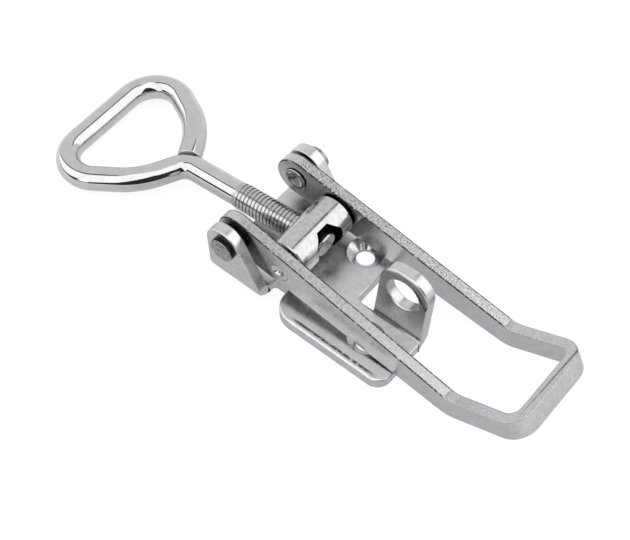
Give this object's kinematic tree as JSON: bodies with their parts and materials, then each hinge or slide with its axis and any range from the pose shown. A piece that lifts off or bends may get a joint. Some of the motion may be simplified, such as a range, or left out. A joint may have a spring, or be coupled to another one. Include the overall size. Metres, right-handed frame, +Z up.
{
  "type": "over centre toggle latch",
  "caption": "Over centre toggle latch: a folded steel base, a U-shaped lever, a swivelling cross pin and an adjustable threaded eye bolt, with a padlock lug.",
  "frame": {"origin": "on the mounting plane, in the middle between the ears, straight under the lever's pivot", "axes": "+X from the eye towards the handle, +Y across the latch towards the side where the floor is cut back, +Z up from the mounting plane"},
  "size_m": [0.1836, 0.0543, 0.0289],
  "materials": {
    "plated_sheet": "bright zinc plated pressed steel sheet, satin",
    "plated_bar": "bright zinc plated flat bar with sheared edges",
    "turned_pin": "turned steel, bright zinc plated",
    "bright_rod": "drawn rod, polished and zinc plated",
    "rivet_steel": "turned rivet, bright zinc plated"
  },
  "bodies": {
    "base": {"base_plate": "plated_sheet", "pivot_rivet_near": "rivet_steel", "pivot_rivet_far": "rivet_steel"},
    "lever": {"lever": "plated_bar"},
    "trunnion": {"trunnion": "turned_pin"},
    "eye_bolt": {"eye_bolt": "bright_rod"}
  },
  "joints": [
    {"name": "lever_hinge", "type": "hinge", "parent": "base", "child": "lever", "pos_m": [0, 0, 0.0182], "axis": [0, -1, 0], "range_deg": [0, 150]},
    {"name": "trunnion_swivel", "type": "hinge", "parent": "lever", "child": "trunnion", "pos_m": [0.01645, 0, 0.015], "axis": [0, 1, 0], "range_deg": [0, 150]},
    {"name": "bolt_adjust", "type": "slide", "parent": "trunnion", "child": "eye_bolt", "axis": [0.9925, 0, 0.1219], "range_m": [-0.008, 0.018]}
  ],
  "couplings": [
    {"joint": "trunnion_swivel", "follows": "lever_hinge", "ratio": 1}
  ]
}
